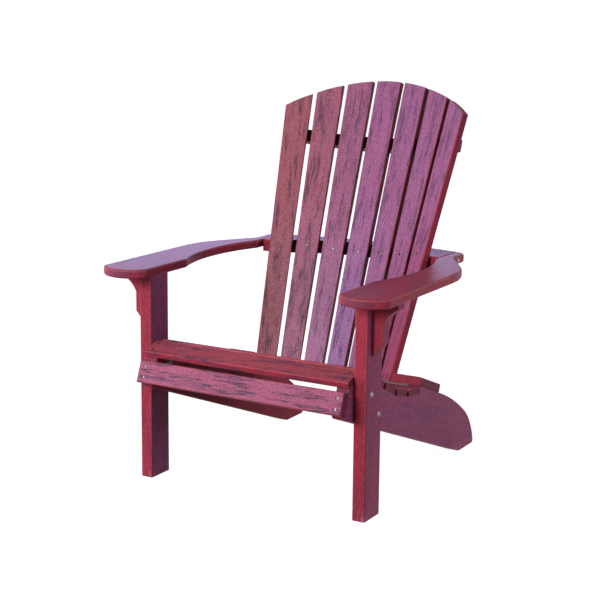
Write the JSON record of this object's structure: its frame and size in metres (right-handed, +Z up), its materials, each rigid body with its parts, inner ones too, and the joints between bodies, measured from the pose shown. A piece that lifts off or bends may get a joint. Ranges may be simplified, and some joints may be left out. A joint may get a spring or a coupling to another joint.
{
  "type": "adirondack chair",
  "caption": "Fan-back adirondack garden chair in red streaked plastic lumber, with wide paddle arms, a scooped slatted seat and rounded rear feet.",
  "frame": {"origin": "centre of the chair's bounding box, on the ground", "axes": "+Z up, -Y towards the front of the chair where the sitter's feet are, +X to the right as seen from the front"},
  "size_m": [0.9, 0.9462, 1.1141],
  "materials": {
    "poly_lumber": "matte, fine embossed grain with dark streaks",
    "stainless_steel": "satin"
  },
  "bodies": {
    "root": {"apron_screws": "stainless_steel", "arm_bolts": "stainless_steel", "arm_bracket_left": "poly_lumber", "arm_bracket_right": "poly_lumber", "arm_left": "poly_lumber", "arm_right": "poly_lumber", "arm_screws": "stainless_steel", "back_foot_screws": "stainless_steel", "back_middle_screws": "stainless_steel", "back_slat_1": "poly_lumber", "back_slat_2": "poly_lumber", "back_slat_3": "poly_lumber", "back_slat_4": "poly_lumber", "back_slat_5": "poly_lumber", "back_slat_6": "poly_lumber", "back_slat_7": "poly_lumber", "back_upper_screws": "stainless_steel", "bracket_screws": "stainless_steel", "front_apron": "poly_lumber", "front_leg_left": "poly_lumber", "front_leg_right": "poly_lumber", "leg_bolt_nuts": "stainless_steel", "leg_bolt_washers": "stainless_steel", "leg_bolts": "stainless_steel", "lower_back_brace": "poly_lumber", "lower_brace_screws": "stainless_steel", "middle_back_brace": "poly_lumber", "seat_screws": "stainless_steel", "seat_slat_1": "poly_lumber", "seat_slat_2": "poly_lumber", "seat_slat_3": "poly_lumber", "seat_slat_4": "poly_lumber", "seat_slat_5": "poly_lumber", "seat_slat_6": "poly_lumber", "side_rail_left": "poly_lumber", "side_rail_right": "poly_lumber", "upper_back_brace": "poly_lumber"}
  },
  "joints": []
}
